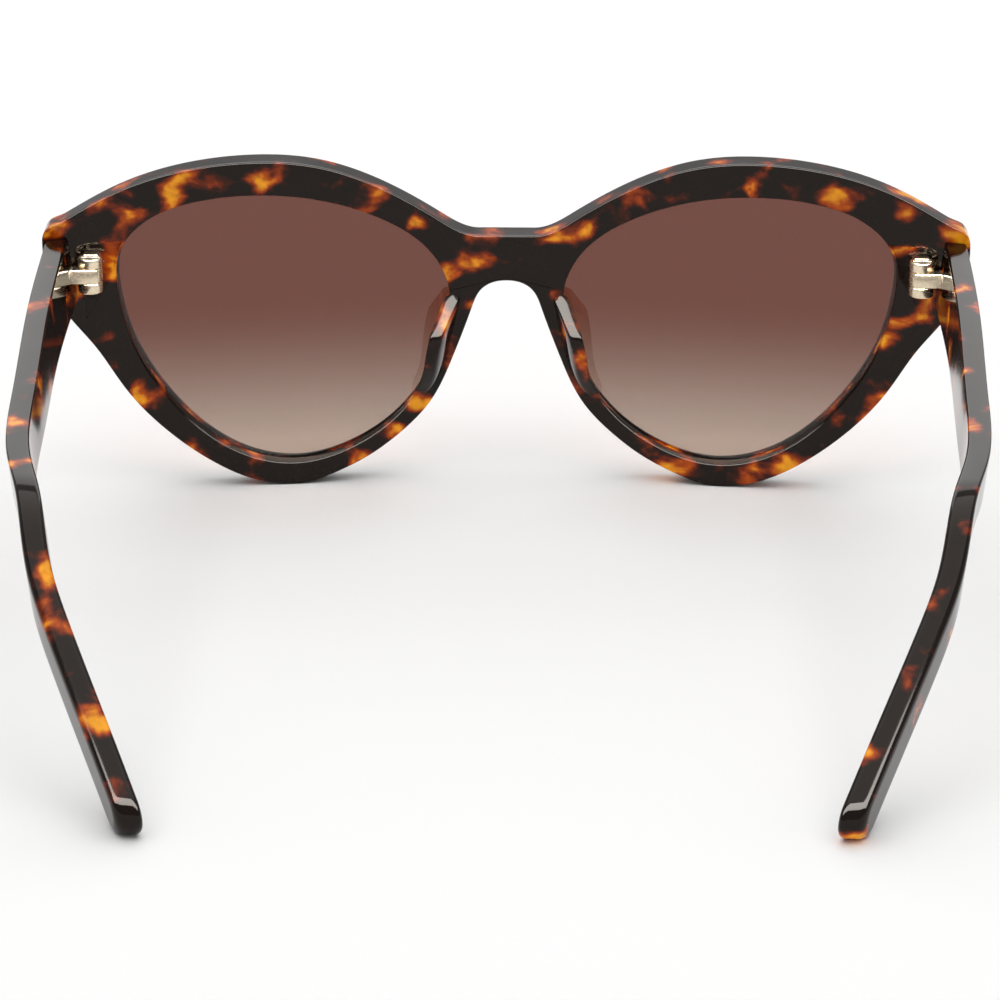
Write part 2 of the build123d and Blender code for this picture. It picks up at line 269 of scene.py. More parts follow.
def build_piece(name, grids, drop=None):
    """A mesh object from grids of points in metres, each (points, wrap rows, wrap columns).

    Points that meet are merged, squares that drop says are not wanted are left out, and faces are
    turned outwards.
    """
    points = []
    faces = []
    first = 0
    for grid, wrap_rows, wrap_columns in grids:
        rows, columns = grid.shape[:2]
        squares = grid_faces(rows, columns, wrap_rows, wrap_columns, first)
        flat = grid.reshape(-1, 3)
        if drop is not None:
            squares = squares[~drop(flat[squares - first])]
        points.append(flat)
        faces.append(squares)
        first += len(flat)
    mesh = bpy.data.meshes.new(name)
    mesh.from_pydata(np.concatenate(points).tolist(), [], np.concatenate(faces).tolist())
    work = bmesh.new()
    work.from_mesh(mesh)
    bmesh.ops.remove_doubles(work, verts=work.verts, dist=0.0015 * MM)
    bmesh.ops.dissolve_degenerate(work, edges=work.edges, dist=0.001 * MM)
    loose = [v for v in work.verts if not v.link_faces]
    bmesh.ops.delete(work, geom=loose, context="VERTS")
    bmesh.ops.recalc_face_normals(work, faces=work.faces)
    work.to_mesh(mesh)
    work.free()
    mesh.shade_smooth()
    mesh.set_sharp_from_angle(angle=math.radians(50.0))
    piece = bpy.data.objects.new(name, mesh)
    bpy.context.scene.collection.objects.link(piece)
    return piece


def finish_piece(piece, material, body, node):
    """Gives a piece its material and its body, and hides the CAD node it stands for."""
    piece.data.materials.append(material)
    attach(piece, body)
    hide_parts(node)


# ------------------------------------------------------------------ the shapes' own lines
def bridge_back():
    """Y of the back face in the middle of the bridge: it puts the origin under the middle of the whole."""
    return (setting("temple").reach - setting("front").thickness) / 2


def on_ball(across, up, depth):
    """Points of the front at a depth below its back face: a ball grown by the depth, met along Y."""
    front = setting("front")
    radius = front.wrap_radius + depth
    back = np.sqrt(radius ** 2 - across ** 2 - (up - front.wrap_height) ** 2)
    return np.stack([across, bridge_back() - front.wrap_radius + back, up], axis=-1)


def spots(shares):
    """Points of the outline from shares of the half width and the height."""
    front = setting("front")
    return np.array(shares) * (front.half_width, front.height)


BROW = [(0.060, 0.759), (0.146, 0.809), (0.277, 0.913), (0.407, 0.979), (0.563, 1.0), (0.708, 0.981),
        (0.838, 0.930), (0.955, 0.850)]
CORNER = [(0.955, 0.850), (0.989, 0.830), (1.0, 0.792)]
TEMPORAL = [(1.0, 0.792), (0.990, 0.665), (0.949, 0.553), (0.895, 0.455), (0.833, 0.320), (0.741, 0.178),
            (0.645, 0.078), (0.546, 0.015), (0.465, 0.0)]
NASAL = [(0.465, 0.0), (0.380, 0.030), (0.300, 0.084), (0.230, 0.155), (0.168, 0.245), (0.118, 0.383),
         (0.077, 0.532), (0.055, 0.592), (0.032, 0.612), (0, 0.619)]
PAD_LINE = [(0.100, 0.578), (0.123, 0.430), (0.150, 0.320), (0.190, 0.246)]
OPENING = [(0.126, 0.590), (0.152, 0.682), (0.196, 0.749), (0.268, 0.810), (0.385, 0.868), (0.535, 0.896),
           (0.680, 0.882), (0.780, 0.832), (0.838, 0.740), (0.843, 0.620), (0.812, 0.452), (0.748, 0.300),
           (0.660, 0.170), (0.555, 0.088), (0.455, 0.068), (0.345, 0.108), (0.252, 0.190), (0.186, 0.300),
           (0.145, 0.430)]
BROW_END = (1.0, -0.56)


def front_outline():
    """The right half of the outer outline, from the top of the bridge round to its underside."""
    straight = spots([(0, 0.759), BROW[0]])
    parts = [
        np.linspace(straight[0], straight[1], 40),
        smooth_line(spots(BROW), 900, (1, 0), BROW_END),
        smooth_line(spots(CORNER), 120, BROW_END, (0, -1)),
        smooth_line(spots(TEMPORAL), 900, (0, -1), (-1, 0)),
        smooth_line(spots(NASAL), 900, (-1, 0), (-1, 0)),
    ]
    return np.concatenate([parts[0]] + [part[1:] for part in parts[1:]])


def opening_line():
    """The lens opening of the wearer's right, closed."""
    return smooth_line(spots(OPENING), 1600, closed=True)


# ------------------------------------------------------------------ the front
# The milled flat, in mm about the hinge's axis: inboard, outboard and above are its edges, and soft is the
# width of its wall. Tilt is in degrees.
RECESS = {"depth": 0.984, "inboard": 9.5, "outboard": 1.6, "above": 1.6, "tilt": 7.0, "soft": 0.45}


def hinge_axis():
    """X and Y of the right hinge's axis, and the heights at which its three knuckles begin and end."""
    low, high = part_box("hinge_screw_right")
    bottom, top = (corner.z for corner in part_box("front_hinge_right"))
    gap = setting("hinge").gap
    low_end = bottom + setting("hinge").knuckle
    high_end = top - setting("hinge").knuckle
    heights = np.array([bottom, low_end, low_end + gap, high_end - gap, high_end, top])
    return (low.x + high.x) / 2, (low.y + high.y) / 2, heights


def mill_recess(points):
    """Sinks the back face to the hinge's milled flat: a tilted plane with soft outboard and top edges."""
    x, _, heights = hinge_axis()
    middle = (heights[0] + heights[-1]) / 2
    floor = (on_ball(x, middle, 0.0)[1] + RECESS["depth"] * MM
             + (points[..., 2] - middle) * math.tan(math.radians(RECESS["tilt"])))
    out = x + RECESS["outboard"] * MM - points[..., 0]
    top = heights[-1] + RECESS["above"] * MM - points[..., 2]
    corner = RECESS["outboard"] * MM
    inside = corner - np.hypot(np.maximum(corner - out, 0), np.maximum(corner - top, 0))
    mask = ease(inside / (RECESS["soft"] * MM)) * (points[..., 0] > x - RECESS["inboard"] * MM)
    milled = points.copy()
    milled[..., 1] += np.maximum(floor - points[..., 1], 0.0) * mask
    return milled


def front_grid():
    """The right half of the front: rays from the lens's middle by a closed section of the rim.

    Each column joins a point of the outer outline to the point of the opening on the same ray from the
    middle of the lens. Each row is a step round the rim's section: back face, outer edge, front face, and
    the opening with its groove. Edges are quarter rounds set in square to their own outline.
    """
    front = setting("front")
    lens = setting("lens")
    edge = front.edge
    guard = 1.35 * edge  # just past the rounding
    columns = 470
    seam_columns = 24
    crowding = 1.6  # how much denser the columns stand about the end piece
    crowd_middle = 4 * MM
    crowd_radius = 11 * MM
    x, _, heights = hinge_axis()
    outline = front_outline()
    near_hinge = np.hypot(outline[:, 0] - x - crowd_middle, outline[:, 1] - heights[3]) / crowd_radius
    outer = spread(outline, columns, 1.0 + crowding * np.exp(-near_hinge ** 2))
    inward = -left_of(outer)
    inward[[0, -1]] = [[0.0, -1.0], [0.0, 1.0]]
    rounding = np.ones(len(outer))
    seam = np.linspace(outer[-1] + (0, guard), outer[0] - (0, guard), seam_columns)
    outer = np.concatenate([outer, seam])
    inward = np.concatenate([inward, np.tile([1.0, 0.0], (len(seam), 1))])
    rounding = np.concatenate([rounding, np.zeros(len(seam))])

    opening = opening_line()[:-1]
    middle = np.array([0.5 * front.half_width, 0.5 * front.height])
    ring_turn = np.arctan2(*(opening - middle).T[::-1])
    turn = np.arctan2(*(outer - middle).T[::-1])

    def on_rays(values):
        return np.stack([np.interp(turn, ring_turn, part, period=2 * math.pi) for part in values.T], axis=1)

    inner = on_rays(opening)
    away = on_rays(left_of(opening, closed=True))
    away = away / np.linalg.norm(away, axis=1)[:, None]

    def outer_row(distance, depth):
        spot = outer + inward * (distance * rounding + guard * (1 - rounding) * (distance >= guard))[:, None]
        return on_ball(*spot.T, depth)

    def inner_row(distance, depth):
        return on_ball(*(inner + away * distance).T, depth)

    def face_rows(depth, count):
        rim = outer + inward * guard
        hole = inner + away * guard
        for share in np.linspace(0.0, 1.0, count)[1:-1]:
            yield on_ball(*(hole + (rim - hole) * share).T, depth)

    bevel = round_edge(edge, 6)
    depth = front.thickness
    rows = [inner_row(guard, 0.0)] + list(face_rows(0.0, 40)) + [outer_row(guard, 0.0)]
    rows += [outer_row(n, d) for n, d in bevel]
    rows += [outer_row(0.0, edge + (depth - 2 * edge) * share) for share in (0.06, 0.5, 0.94)]
    rows += [outer_row(n, depth - d) for n, d in bevel[::-1]]
    rows += [outer_row(guard, depth)] + list(face_rows(depth, 12))[::-1] + [inner_row(guard, depth)]
    rows += [inner_row(n, depth - d) for n, d in bevel]
    groove = lens.set_back + lens.thickness
    lip = 0.1 * MM
    rows += [inner_row(0.0, groove + lip), inner_row(0.0, groove), inner_row(front.groove, groove)]
    rows += [inner_row(front.groove, lens.set_back), inner_row(0.0, lens.set_back)]
    rows += [inner_row(0.0, lens.set_back - lip)]
    rows += [inner_row(n, d) for n, d in bevel[::-1]]
    grid = np.stack(rows, axis=1)
    milled_rows = 42  # the back face and the first two steps of its outer rounding
    grid[:, :milled_rows] = mill_recess(grid[:, :milled_rows])
    return grid


def on_seam(corners):
    """Squares that lie wholly in the plane between the two halves."""
    return (np.abs(corners[..., 0]) < 1e-7).all(axis=-1)


def mirrored(grid):
    """The same grid on the wearer's left."""
    return grid * (-1.0, 1.0, 1.0)


def pad_grid(side):
    """A nose pad: a fin along the rim's nasal edge, by the turn round its section.

    The section is a squarish bar, a cosine and a sine each to the power of squareness. Its far side stands
    back by the pad's reach times a hump: a straight ramp from the top that bends over at ramp_end, and a
    slow fall from fall_start to the foot. It shrinks to a point at each end.
    """
    front = setting("front")
    squareness = 0.40
    ramp_end = 0.26
    ramp_bend = 0.006
    fall_start = 0.34
    top_taper = 0.05
    foot_taper = 0.16
    sunk = 0.6 * MM
    splay = 0.30
    droop = 0.10
    line = spread(smooth_line(spots(PAD_LINE), 400), 90)
    share = np.linspace(0.0, 1.0, len(line))
    ramp = share / ramp_end
    rise = (1.0 + ramp - np.sqrt((1.0 - ramp) ** 2 + ramp_bend)) / 2
    hump = rise * (1.0 - ease((share - fall_start) / (1.0 - fall_start))) ** 0.85
    taper = np.minimum(ease(share / top_taper), ease((1.0 - share) / foot_taper)) ** 0.5
    turn = np.linspace(0.0, 2 * math.pi, 73)[:-1]
    across = np.sign(np.cos(turn)) * np.abs(np.cos(turn)) ** squareness
    back = np.sign(np.sin(turn)) * np.abs(np.sin(turn)) ** squareness
    stand = np.where(back > 0, back[None, :] * (front.pad_reach * hump)[:, None], back[None, :] * sunk)
    half = 0.5 * front.pad_width
    x = (line[:, 0] + half)[:, None] + half * across[None, :] * taper[:, None] + splay * np.maximum(stand, 0)
    up = line[:, 1][:, None] - droop * np.maximum(stand, 0)
    grid = on_ball(x, up, 0.0)
    grid[..., 1] -= stand
    grid[..., 0] *= side
    return grid


# ------------------------------------------------------------------ the lenses
def lens_grid(side):
    """A lens: the opening's outline shrunk towards its middle, by a section from pole to pole.

    The section runs over the back face, round the bevelled edge in the groove and over the front face.
    """
    front = setting("front")
    lens = setting("lens")
    groove_play = 0.06 * MM
    line = spread(opening_line(), 241)[:-1]
    line = line + left_of(line, closed=True) * (front.groove - groove_play)
    middle = np.array([0.5 * front.half_width, 0.5 * front.height])
    toward = (middle - line) / np.linalg.norm(middle - line, axis=1)[:, None]
    shares = np.concatenate([np.linspace(0.0, 0.9, 14), [0.96, 1.0]])
    near = lens.set_back
    far = near + lens.thickness
    rows = []
    for depth, run in ((near, shares), (far, shares[::-1])):
        for share in run:
            spot = middle + (line - middle) * share + toward * (lens.bevel * (share == 1.0))
            rows.append(on_ball(*spot.T, depth))
        if depth == near:
            for step in (0.25, 0.5, 0.75):
                rows.append(on_ball(*line.T, near + step * lens.thickness))
    grid = np.stack(rows, axis=1)
    grid[..., 0] *= side
    return grid


# ------------------------------------------------------------------ the temples
def fillet_line(points, radius, count):
    """Two straights joined by an arc of the radius, as evenly spread points."""
    start, corner, end = np.array(points, float)
    first = (start - corner) / np.linalg.norm(start - corner)
    second = (end - corner) / np.linalg.norm(end - corner)
    half = 0.5 * math.acos(float(first @ second))
    cut = radius / math.tan(half)
    middle = corner + (first + second) / np.linalg.norm(first + second) * radius / math.sin(half)
    spoke = corner + first * cut - middle
    other = corner + second * cut - middle
    sweep = math.pi - 2 * half
    turn = np.linspace(0.0, sweep, 60)[:, None]
    bend = middle + (np.sin(sweep - turn) * spoke + np.sin(turn) * other) / math.sin(sweep)
    return spread(np.concatenate([[start], bend, [end]]), count)


TOP_FALL = 0.10  # fall of the straight's top edge for each unit back
UNDER_FALL = 0.058  # the same of its underside
EAR_ANGLE = math.radians(34.4)
LEAN = 0.12  # what the sides move inwards for each unit down
# The bow seen from above: inwards in mm, share of the straight, share of the ear piece.
BOW = [(0.1, 0.0, 0.0), (-0.7, 0.36, 0.0), (-0.05, 0.66, 0.0), (1.2, 0.87, 0.0), (3.7, 1.0, 0.0),
       (5.3, 1.0, 0.26), (7.6, 1.0, 0.43), (13.6, 1.0, 0.80), (17.2, 1.0, 1.024)]


def temple_bow():
    """The temple's outside and inside seen from above, as X against distance behind the bridge."""
    temple = setting("temple")
    straight = temple.reach - temple.ear_run
    side_gap = 0.7 * MM
    outside = setting("front").half_width - side_gap
    knots = [(straight * a + temple.ear_run * b, outside - inward * MM) for inward, a, b in BOW]
    outer = smooth_line(knots, 600)
    return outer, outer - left_of(outer) * temple.thickness


def side_lines(count):
    """The temple's top and underside seen from the side, with the half of the rounded tip on each."""
    temple = setting("temple")
    radius = temple.ear_depth / 2
    fall = math.tan(EAR_ANGLE)
    centre = np.array([temple.reach - radius, radius])
    normal = np.array([math.sin(EAR_ANGLE), math.cos(EAR_ANGLE)])
    way = np.array([math.cos(EAR_ANGLE), -math.sin(EAR_ANGLE)])
    lines = []
    for height, slope, sign in ((temple.top, TOP_FALL, 1.0), (temple.top - temple.depth, UNDER_FALL, -1.0)):
        end = centre + sign * radius * normal
        bend = (end[1] + end[0] * fall - height) / (fall - slope)
        straight = fillet_line([(0.0, height), (bend, height - bend * slope), end], temple.bend, count)
        turn = np.linspace(0.0, math.pi / 2, 22)[1:, None]
        nose = centre + radius * (np.cos(turn) * sign * normal + np.sin(turn) * way)
        lines.append(np.concatenate([straight, nose]))
    return lines


def temple_grid(side):
    """A temple: stations along it by a closed section of two sides and two edges.

    A section joins a point of the top line to a point of the under line. Its edges are quarter rounds set
    in square to the side outline, so that they run on round the tip, and from rounder_from on their radius
    grows by a smooth cubic. X comes from the bow seen from above, less a lean that grows downwards. The
    front end follows the ball of the front's back face.
    """
    temple = setting("temple")
    rounder_from = 84.0 * MM
    rounder_over = 34.0 * MM
    end_gap = 0.12 * MM
    end_from = 9.0 * MM
    end_over = 7.0 * MM
    top, under = side_lines(230)
    outer, inner = temple_bow()
    top_in = -left_of(top)
    under_in = left_of(under)
    tip_in = np.array([-math.cos(EAR_ANGLE), math.sin(EAR_ANGLE)])
    top_in[-1] = tip_in
    under_in[-1] = tip_in
    bevel = round_edge(temple.edge, 6)
    guard = 1.4 * temple.edge  # just past the rounding
    shares = np.linspace(0, 1, 12)[1:-1]

    # Each step of the section: the distance in from the outline, the share of the way down, the distance
    # from a wall, and whether that is the outer wall.
    section = [(n, 0.0, w, True) for n, w in bevel[::-1]] + [(guard, 0.0, 0.0, True)]
    section += [(guard, share, 0.0, True) for share in shares]
    section += [(guard, 1.0, 0.0, True)] + [(n, 1.0, w, True) for n, w in bevel]
    section += [(n, 1.0, w, False) for n, w in bevel[::-1]] + [(guard, 1.0, 0.0, False)]
    section += [(guard, 1 - share, 0.0, False) for share in shares]
    section += [(guard, 0.0, 0.0, False)] + [(n, 0.0, w, False) for n, w in bevel]
    late = ease((top[:, 0] - rounder_from) / rounder_over)
    grow = 1.0 + (temple.tip_edge / temple.edge - 1.0) * late
    thickness = temple.thickness + temple.swell * late
    rows = []
    for distance, down, across, is_outer in section:
        high = top + top_in * (distance * grow)[:, None]
        low = under + under_in * (distance * grow)[:, None]
        spot = high * (1 - down) + low * down
        wall = np.interp(spot[:, 0], outer[:, 0], outer[:, 1])
        other = np.interp(spot[:, 0], inner[:, 0], inner[:, 1]) - temple.swell * late
        if not is_outer:
            wall, other = other, wall
        x = wall + (other - wall) * across * grow / thickness - LEAN * (temple.top - spot[:, 1])
        rows.append(np.stack([x, spot[:, 0], spot[:, 1]], axis=1))
    grid = np.stack(rows, axis=1)

    grid = grid[grid[:, 0, 1] > end_from]

    def seat(points):
        return bridge_back() - on_ball(points[..., 0], points[..., 2], -end_gap)[..., 1]

    pull = 1.0 - ease((grid[..., 1] - end_from) / end_over)
    grid[..., 1] += (seat(grid) - grid[:1, :, 1]) * pull
    middle = grid[0].mean(axis=0)
    caps = []
    for share in (0.0, 0.5, 0.90, 0.975):
        cap = middle + (grid[0] - middle) * share
        cap[:, 1] = seat(cap)
        caps.append(cap)
    grid = np.concatenate([np.stack(caps), grid])
    grid[..., 1] = bridge_back() - grid[..., 1]
    grid[..., 0] *= side
    return grid


# ------------------------------------------------------------------ turned and cut metal
def turned(profile, count=64):
    """A profile of (radius, height) carried round the upright axis."""
    profile = np.array(profile, float)
    turn = np.linspace(0.0, 2 * math.pi, count + 1)[:-1]
    return np.stack([np.cos(turn)[:, None] * profile[:, 0], np.sin(turn)[:, None] * profile[:, 0],
                     np.ones(count)[:, None] * profile[:, 1]], axis=-1)


def prism(outline, low, high, chamfer):
    """A plane outline carried from low to high along the third axis, with broken edges and flat ends.

    Each straight of the outline is cut into four, and the ends shrink to the outline's middle.
    """
    corners = np.array(outline, float)
    steps = np.array([0.0, 0.04, 0.5, 0.96])
    beside = np.roll(corners, -1, axis=0)
    line = (corners[:, None] + (beside - corners)[:, None] * steps[None, :, None]).reshape(-1, 2)
    middle = corners.mean(axis=0)
    size = np.linalg.norm(line - middle, axis=1)[:, None]
    inset = middle + (line - middle) * (1 - chamfer / size)
    pole = np.tile(middle, (len(line), 1))
    rows = [(pole, low), (inset, low), (line, low + chamfer), (line, high - chamfer), (inset, high),
            (pole, high)]
    return np.stack([np.insert(spot, 2, height, axis=1) for spot, height in rows], axis=1)


def knuckle(low, high, head=None):
    """A hinge knuckle: a ring with broken edges, and a wider hole down to head's depth for the screw."""
    hinge = setting("hinge")
    c = hinge.chamfer
    r = hinge.barrel
    bore = hinge.bore
    loop = [(bore, low + c), (bore + c, low), (r - c, low), (r - 0.3 * c, low + 0.3 * c), (r, low + c),
            (r, high - c), (r - 0.3 * c, high - 0.3 * c), (r - c, high)]
    if head is None:
        loop += [(bore + c, high), (bore, high - c)]
    else:
        radius, depth = head
        loop += [(radius + c, high), (radius, high - c), (radius, high - depth), (bore, high - depth)]
    return turned(loop)


def at_hinge(grid, side):
    """A grid shifted to the right hinge's axis, or mirrored to the left one."""
    x, y, _ = hinge_axis()
    return (grid + (x, y, 0.0)) * (side, 1.0, 1.0)


def leaf_grids(rings, blocks, side):
    """Closed rings and capped blocks at one side's hinge, in the form that build_piece takes."""
    return ([(at_hinge(ring, side), True, True) for ring in rings]
            + [(at_hinge(block, side), True, False) for block in blocks])


def front_hinge_grids(side):
    """The front leaf: upper and lower knuckles, their webs and the plate sunk in the acetate."""
    hinge = setting("hinge")
    _, y, z = hinge_axis()
    c = hinge.chamfer
    head_play = 0.05 * MM
    head_depth = 0.75 * MM
    thick = 1.4 * MM
    half_leaf = 2.6 * MM
    half_web = 1.3 * MM
    web_from = 0.9 * MM
    web_lap = 0.5 * MM
    shorter = 0.3 * MM
    to_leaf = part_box("front_hinge_right")[1].y - thick - y
    web_to = to_leaf + web_lap
    web = [(-half_web, web_from), (half_web, web_from), (half_web, web_to), (-half_web, web_to)]
    leaf = [(-half_leaf, to_leaf), (half_leaf, to_leaf), (half_leaf, to_leaf + thick),
            (-half_leaf, to_leaf + thick)]
    rings = [knuckle(z[0], z[1]), knuckle(z[4], z[5], (hinge.head + head_play, head_depth))]
    blocks = [prism(web, z[0], z[1], c), prism(web, z[4], z[5], c),
              prism(leaf, z[0] + shorter, z[5] - shorter, c)]
    return leaf_grids(rings, blocks, side)


def temple_hinge_grids(side):
    """The temple leaf: the middle knuckle, the arm that is flush with its back, and the pointed plate."""
    z = hinge_axis()[2]
    c = setting("hinge").chamfer
    r = setting("hinge").barrel
    lap = 1.3 * MM
    arm_end = 3.3 * MM
    fore = 0.5 * MM
    plate_face = 2.9 * MM
    plate_back = 3.8 * MM
    plate_length = 3.9 * MM
    straight_height = 5.0 * MM
    full_height = 7.2 * MM
    arm = [(-lap, -r), (arm_end, -r), (arm_end, fore), (-lap, fore)]
    top = z[3] + 0.3 * MM
    rear = fore - plate_length
    plate = [(fore, top), (fore, top - straight_height), (fore - plate_length / 2, top - full_height),
             (rear, top - straight_height), (rear, top)]
    flat = prism(plate, plate_face, plate_back, 0.5 * c)
    upright = np.stack([flat[..., 2], flat[..., 0], flat[..., 1]], axis=-1)
    return leaf_grids([knuckle(z[2], z[3])], [prism(arm, z[2], z[3], c), upright], side)


def screw_grid(side):
    """The hinge screw: a turned shank and head, with the slot pressed down across the head's top."""
    hinge = setting("hinge")
    z = hinge_axis()[2]
    head_below = 0.15 * MM
    head_height = 0.55 * MM
    half_slot = 0.22 * MM
    slot_soft = 0.08 * MM
    slot_depth = 0.30 * MM
    c = 0.10 * MM
    top = z[5] - head_below
    under = top - head_height
    rings = np.linspace(hinge.head - c, 0.0, 16)
    profile = [(0.0, z[0]), (hinge.screw - c, z[0]), (hinge.screw, z[0] + c), (hinge.screw, under),
               (hinge.head, under), (hinge.head, top - c)] + [(ring, top) for ring in rings]
    grid = turned(profile, 96)
    slot = ease((half_slot - np.abs(grid[..., 1])) / slot_soft) * (grid[..., 2] > top - 0.1 * c)
    grid[..., 2] -= slot_depth * slot
    return at_hinge(grid, side)


# ------------------------------------------------------------------ shader maths
class Shade:
    """A socket of a node tree. Sums, products and powers of it add Math nodes."""

    def __init__(self, tree, socket):
        self.tree = tree
        self.socket = socket

    def _math(self, operation, first, second):
        out = make_node(self.tree, "ShaderNodeMath", {"operation": operation}, {0: first, 1: second})
        return Shade(self.tree, out.outputs[0])

    def __add__(self, other):
        return self._math("ADD", self, other)

    def __radd__(self, other):
        return self._math("ADD", other, self)

    def __sub__(self, other):
        return self._math("SUBTRACT", self, other)

    def __rsub__(self, other):
        return self._math("SUBTRACT", other, self)

    def __mul__(self, other):
        return self._math("MULTIPLY", self, other)

    def __pow__(self, other):
        return self._math("POWER", self, other)

    def clamped(self):
        """Kept between zero and one."""
        out = make_node(self.tree, "ShaderNodeClamp", {}, {"Value": self})
        return Shade(self.tree, out.outputs[0])

    def within(self, low, high):
        """Zero below low, one above high, smooth between."""
        out = make_node(self.tree, "ShaderNodeMapRange", {"interpolation_type": "SMOOTHSTEP"},
                        {"Value": self, "From Min": low, "From Max": high})
        return Shade(self.tree, out.outputs["Result"])


def make_node(tree, kind, settings=None, sockets=None, stops=None):
    """A node of any type: its settings first, then a ramp's stops, then its sockets' values or links."""
    node = tree.nodes.new(kind)
    for key, value in (settings or {}).items():
        setattr(node, key, value)
    if stops:
        ramp = node.color_ramp
        while len(ramp.elements) < len(stops):
            ramp.elements.new(1.0)
        for element, (position, shade) in zip(ramp.elements, stops):
            element.position = position
            element.color = (*shade, 1.0)
    for key, value in (sockets or {}).items():
        if isinstance(value, Shade):
            tree.links.new(value.socket, node.inputs[key])
        elif isinstance(value, bpy.types.NodeSocket):
            tree.links.new(value, node.inputs[key])
        else:
            node.inputs[key].default_value = value
    return node


def scaled(tree, value, amount):
    """A colour or a place, given as a value or a socket, times an amount."""
    node = make_node(tree, "ShaderNodeVectorMath", {"operation": "SCALE"}, {0: value, "Scale": amount})
    return node.outputs[0]


def new_material(name):
    """A material with an empty node tree, its shader and its Object coordinates in millimetres."""
    material = bpy.data.materials.new(name)
    material.use_nodes = True
    tree = material.node_tree
    tree.nodes.clear()
    shader = tree.nodes.new("ShaderNodeBsdfPrincipled")
    output = tree.nodes.new("ShaderNodeOutputMaterial")
    tree.links.new(shader.outputs[0], output.inputs[0])
    place = tree.nodes.new("ShaderNodeTexCoord")
    return material, tree, shader, scaled(tree, place.outputs["Object"], 1.0 / MM)


def noise(tree, place, scale, detail, rough=0.5, output="Fac"):
    """Noise whose features are about one over scale millimetres across."""
    node = make_node(tree, "ShaderNodeTexNoise", {}, {"Vector": place, "Scale": scale, "Detail": detail,
                                                     "Roughness": rough})
    return Shade(tree, node.outputs[output])


FRONT_CUT = (62.0, 25.0, 18.0)  # the place in the block, in mm, that the front and the pads are cut from
TEMPLE_CUT = (203.0, 15.0, 61.0)  # the same for the temples, in a darker stretch


def drifted(tree, place, cut):
    """Places in the block: turned, squeezed upwards, shifted to the cut and pushed about by up to 2 mm."""
    in_block = make_node(tree, "ShaderNodeMapping", {}, {
        "Vector": place, "Location": cut, "Rotation": (0.30, 0.10, 0.45), "Scale": (1.0, 1.0, 1.25)})
    drift = noise(tree, in_block.outputs[0], 0.13, 1.0, output="Color")
    centred = make_node(tree, "ShaderNodeVectorMath", {"operation": "SUBTRACT"},
                        {0: drift, 1: (0.5, 0.5, 0.5)})
    pushed = make_node(tree, "ShaderNodeVectorMath", {"operation": "MULTIPLY_ADD"},
                       {0: centred.outputs[0], 1: (4.0, 4.0, 4.0), 2: in_block.outputs[0]})
    return pushed.outputs[0]


def acetate_material(name, cut, begin):
    """Tortoise acetate: amber and orange blotches with red brown halos in a dark ground, polished.

    Three sizes of noise add up to a heat. Below begin it is the dark ground, and over the next 0.38 it runs
    through ember, russet and orange to amber. Cut is the place in the block.
    """
    colours = setting("acetate")
    material, tree, shader, place = new_material(name)
    where = drifted(tree, place, cut)
    size = 1.0 / (colours.blotch / MM)
    broad = noise(tree, where, size, 0.0)
    lumps = noise(tree, where, 2.6 * size, 1.0)
    grain = noise(tree, where, 11.0 * size, 1.0)
    heat = broad + (lumps - 0.5) * 0.34 + (grain - 0.5) * 0.06
    level = heat.within(begin, begin + 0.38)
    ramp = make_node(tree, "ShaderNodeValToRGB", {}, {"Fac": level}, [
        (0.0, tuple(colours.dark)), (0.07, tuple(colours.dark)), (0.24, tuple(colours.ember)),
        (0.45, tuple(colours.russet)), (0.70, tuple(colours.orange)), (0.98, tuple(colours.amber))])
    cloud = noise(tree, where, 0.4, 2.0)
    tinted = scaled(tree, ramp.outputs["Color"], 0.70 + cloud * 0.60)
    rub = noise(tree, place, 0.35, 4.0, 0.6)
    polish = colours.gloss * 0.7 + rub * (colours.gloss * 0.6)
    ripple = noise(tree, place, 0.09, 1.0, 0.4)
    bump = make_node(tree, "ShaderNodeBump", {}, {"Strength": 0.05, "Distance": 0.0004, "Height": ripple})
    tree.links.new(tinted, shader.inputs["Base Color"])
    tree.links.new(polish.socket, shader.inputs["Roughness"])
    tree.links.new(bump.outputs["Normal"], shader.inputs["Normal"])
    shader.inputs["IOR"].default_value = 1.38
    shader.inputs["Specular Tint"].default_value = (0.66, 0.62, 0.57, 1.0)
    return material


def lens_material():
    """Gradient sun lens: clear resin whose tint runs from top to bottom by (share of the fade) ** 1.8."""
    tints = setting("tint")
    material, tree, shader, place = new_material("gradient_lens")
    parts = make_node(tree, "ShaderNodeSeparateXYZ", {}, {"Vector": place})
    cloud = noise(tree, place, 0.05, 1.0)
    below = (tints.fade_top / MM - Shade(tree, parts.outputs["Z"])) * (MM / tints.fade_run)
    share = (below + (cloud - 0.5) * 0.02).clamped() ** 1.8
    tint = make_node(tree, "ShaderNodeMix", {"data_type": "RGBA"},
                     {"Factor": share, 6: (*tints.top, 1.0), 7: (*tints.bottom, 1.0)})
    tree.links.new(tint.outputs[2], shader.inputs["Base Color"])
    shader.inputs["Transmission Weight"].default_value = 1.0
    shader.inputs["IOR"].default_value = 1.50
    smear = noise(tree, place, 0.2, 2.0) * 0.02
    tree.links.new(smear.socket, shader.inputs["Roughness"])
    return material


